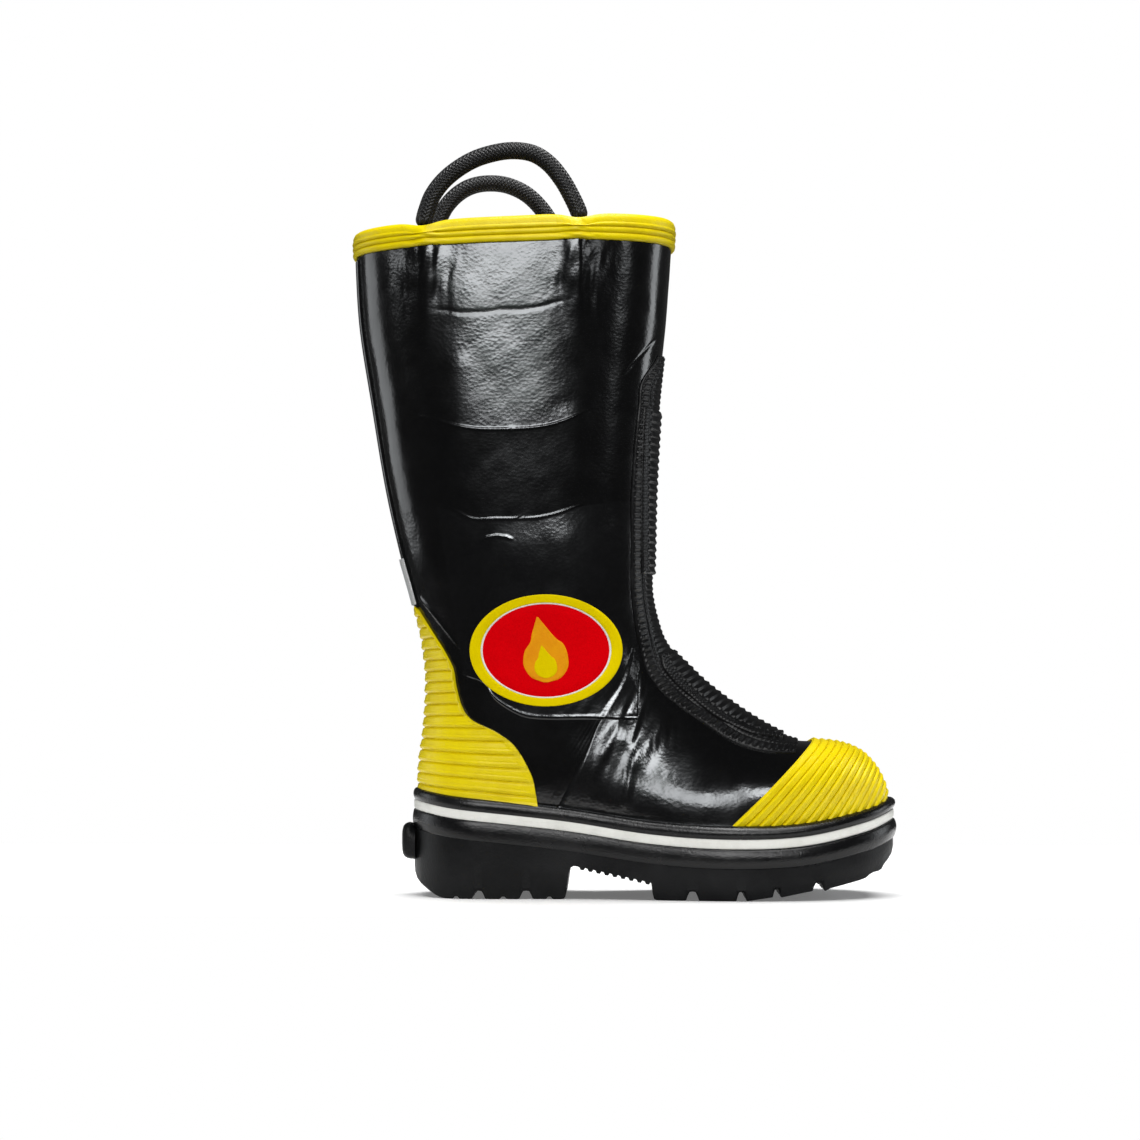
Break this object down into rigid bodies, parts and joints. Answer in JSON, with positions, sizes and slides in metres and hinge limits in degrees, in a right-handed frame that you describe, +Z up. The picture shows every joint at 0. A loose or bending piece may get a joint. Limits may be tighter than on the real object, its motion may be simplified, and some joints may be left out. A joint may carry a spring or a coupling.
{
  "type": "fire boot",
  "caption": "Tall black rubber firefighter's boot with yellow toe, heel and collar, ribbed shin guard, rope pull handles, steel toe and lugged sole.",
  "frame": {"origin": "on the ground under the middle of the boot's bounding box", "axes": "+Z up, +X towards the toe, -Y towards the outer (lateral) side of this right boot"},
  "size_m": [0.3348, 0.1155, 0.4568],
  "materials": {
    "black_rubber": "glossy grained",
    "outsole_rubber": "matte",
    "guard_rubber": "satin ribbed",
    "yellow_rubber": "satin",
    "red_rubber": "satin",
    "amber_rubber": "satin",
    "pale_rubber": "satin",
    "reflective_tape": "retroreflective",
    "steel": "plain",
    "foam": "closed cell foam",
    "felt": "felt",
    "lining_cloth": "woven",
    "board": "fibre board",
    "insole_foam": "cloth over foam",
    "rope": "braided"
  },
  "bodies": {
    "root": {"outsole": "outsole_rubber", "midsole_filler": "outsole_rubber", "steel_shank": "steel", "puncture_plate": "steel", "lower_foxing": "black_rubber", "foxing_stripe": "pale_rubber", "upper_foxing": "black_rubber", "vamp": "black_rubber", "leg_lateral": "black_rubber", "leg_medial": "black_rubber", "backstay": "black_rubber", "reflective_strip": "reflective_tape", "ankle_patch_lateral": "black_rubber", "ankle_patch_medial": "black_rubber", "heel_counter": "outsole_rubber", "steel_toe_cap": "steel", "toe_cap_bumper": "outsole_rubber", "toe_guard": "yellow_rubber", "heel_guard": "yellow_rubber", "shin_guard": "guard_rubber", "shin_overlay": "guard_rubber", "instep_overlay": "guard_rubber", "shin_padding": "foam", "insulation": "felt", "lining": "lining_cloth", "insole_board": "board", "insole": "insole_foam", "collar_band": "yellow_rubber", "badge_border": "yellow_rubber", "badge_field": "red_rubber", "badge_flame": "amber_rubber", "rope_ends_lateral": "rope", "rope_ends_medial": "rope"},
    "handle_lateral": {"handle_lateral": "rope"},
    "handle_medial": {"handle_medial": "rope"}
  },
  "joints": [
    {"name": "handle_lateral_fold", "type": "hinge", "parent": "root", "child": "handle_lateral", "pos_m": [-0.073, -0.04272, 0.41169], "axis": [0.9987, -0.0375, 0.0357], "range_deg": [-60, 85], "stiffness_Nm_per_rad": 0.15},
    {"name": "handle_medial_fold", "type": "hinge", "parent": "root", "child": "handle_medial", "pos_m": [-0.08, 0.04353, 0.41144], "axis": [-0.9973, -0.0642, -0.0356], "range_deg": [-60, 85], "stiffness_Nm_per_rad": 0.15}
  ]
}
